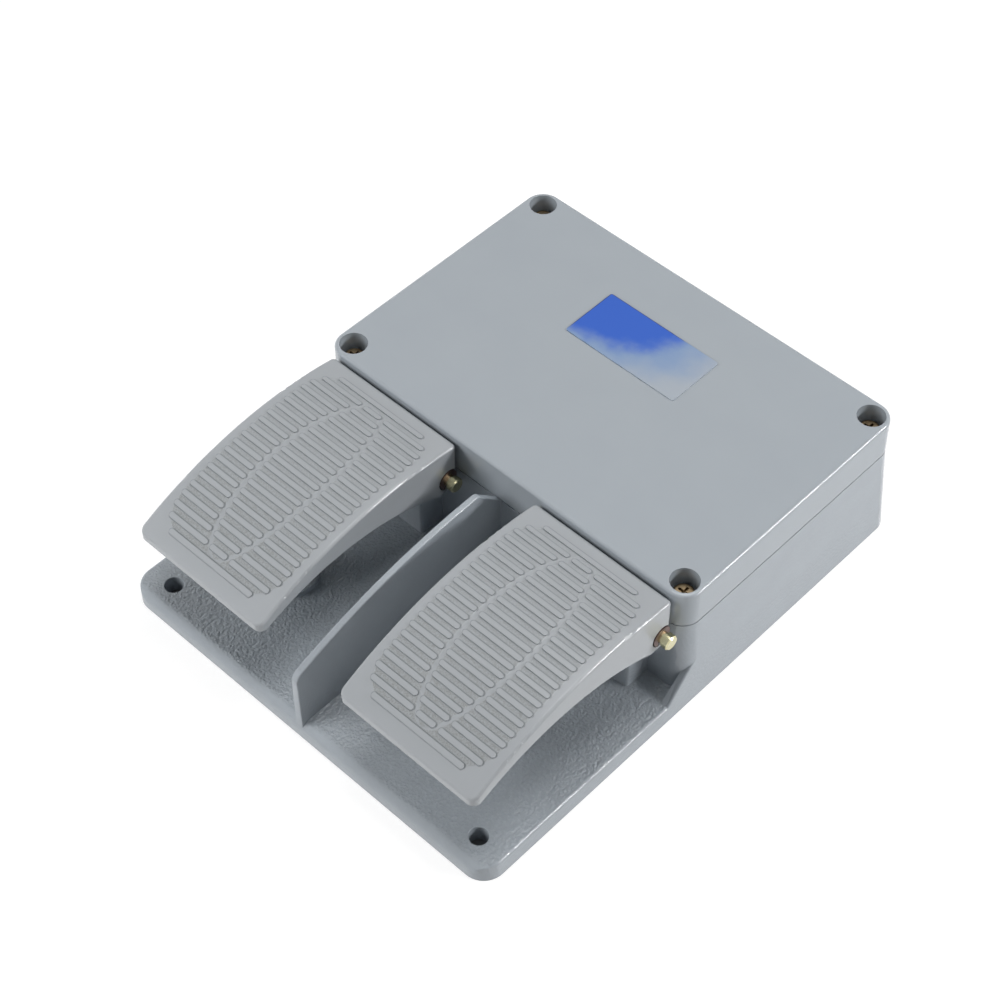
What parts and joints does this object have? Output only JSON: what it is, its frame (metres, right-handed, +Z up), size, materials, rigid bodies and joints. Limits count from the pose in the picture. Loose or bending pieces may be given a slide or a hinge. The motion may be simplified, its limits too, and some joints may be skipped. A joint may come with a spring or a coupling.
{
  "type": "foot switch",
  "caption": "Twin-pedal industrial foot switch: two arched, ribbed treads hinged side by side on a cast base, with a lidded switch box behind them.",
  "frame": {"origin": "middle of the footprint, cable gland included, on the floor", "axes": "+X to the operator's right, +Y from the pedals to the switch box and its rear gland, +Z up"},
  "size_m": [0.196, 0.257, 0.0649],
  "materials": {
    "casting_paint": "grey baked enamel with a fine leathery texture on die-cast aluminium",
    "cover_paint": "satin grey baked enamel on die-cast aluminium",
    "pedal_paint": "satin grey baked enamel with a sand-textured tread",
    "yellow_zinc": "steel plated with yellow-passivated zinc",
    "spring_steel": "zinc-plated spring wire",
    "stainless": "ground stainless steel",
    "bronze": "sintered bronze",
    "brass": "turned brass",
    "black_rubber": "moulded nitrile rubber",
    "phenolic": "black moulded phenolic",
    "red_button": "moulded acetal",
    "zinc_sheet": "zinc-plated sheet steel",
    "black_nylon": "moulded nylon",
    "nameplate_foil": "thin aluminium plate, printed blue, blank"
  },
  "bodies": {
    "root": {"base_casting": "casting_paint", "top_cover": "cover_paint", "cover_gasket": "black_rubber", "cover_screws": "yellow_zinc", "nameplate": "nameplate_foil", "switch_plate": "zinc_sheet", "switch_screws": "zinc_sheet", "earth_clamp": "brass", "earth_screw": "brass", "gland_body": "black_nylon", "gland_seal": "black_rubber", "gland_nut": "black_nylon", "gland_locknut": "black_nylon", "left_pivot_pin": "yellow_zinc", "left_pin_washers": "yellow_zinc", "left_pin_clips": "yellow_zinc", "left_return_spring": "spring_steel", "left_guide_bush": "brass", "left_plunger_seal": "black_rubber", "left_switch_body": "phenolic", "left_switch_terminals": "brass", "right_pivot_pin": "yellow_zinc", "right_pin_washers": "yellow_zinc", "right_pin_clips": "yellow_zinc", "right_return_spring": "spring_steel", "right_guide_bush": "brass", "right_plunger_seal": "black_rubber", "right_switch_body": "phenolic", "right_switch_terminals": "brass"},
    "left_pedal_body": {"left_pedal": "pedal_paint", "left_pivot_bushes": "bronze"},
    "left_plunger_body": {"left_plunger": "stainless"},
    "left_button_body": {"left_switch_button": "red_button"},
    "right_pedal_body": {"right_pedal": "pedal_paint", "right_pivot_bushes": "bronze"},
    "right_plunger_body": {"right_plunger": "stainless"},
    "right_button_body": {"right_switch_button": "red_button"}
  },
  "joints": [
    {"name": "left_pedal_hinge", "type": "hinge", "parent": "root", "child": "left_pedal_body", "pos_m": [-0.0553, -0.0247, 0.0456], "axis": [1, 0, 0], "range_deg": [0, 8], "stiffness_Nm_per_rad": 8.18, "springref_deg": -7.21, "deforming": ["left_return_spring"]},
    {"name": "left_plunger_slide", "type": "slide", "parent": "root", "child": "left_plunger_body", "axis": [0, 1, 0], "range_m": [0, 0.0026]},
    {"name": "left_button_slide", "type": "slide", "parent": "root", "child": "left_button_body", "axis": [0, 1, 0], "range_m": [0, 0.0026], "stiffness_N_per_m": 300, "springref_m": -0.0008},
    {"name": "right_pedal_hinge", "type": "hinge", "parent": "root", "child": "right_pedal_body", "pos_m": [0.0553, -0.0247, 0.0456], "axis": [1, 0, 0], "range_deg": [0, 8], "stiffness_Nm_per_rad": 8.18, "springref_deg": -7.21, "deforming": ["right_return_spring"]},
    {"name": "right_plunger_slide", "type": "slide", "parent": "root", "child": "right_plunger_body", "axis": [0, 1, 0], "range_m": [0, 0.0026]},
    {"name": "right_button_slide", "type": "slide", "parent": "root", "child": "right_button_body", "axis": [0, 1, 0], "range_m": [0, 0.0026], "stiffness_N_per_m": 300, "springref_m": -0.0008}
  ],
  "couplings": [
    {"joint": "left_plunger_slide", "follows": "left_pedal_hinge", "m_per_rad": 0.0183},
    {"joint": "left_button_slide", "follows": "left_pedal_hinge", "m_per_rad": 0.0183},
    {"joint": "right_plunger_slide", "follows": "right_pedal_hinge", "m_per_rad": 0.0183},
    {"joint": "right_button_slide", "follows": "right_pedal_hinge", "m_per_rad": 0.0183}
  ]
}
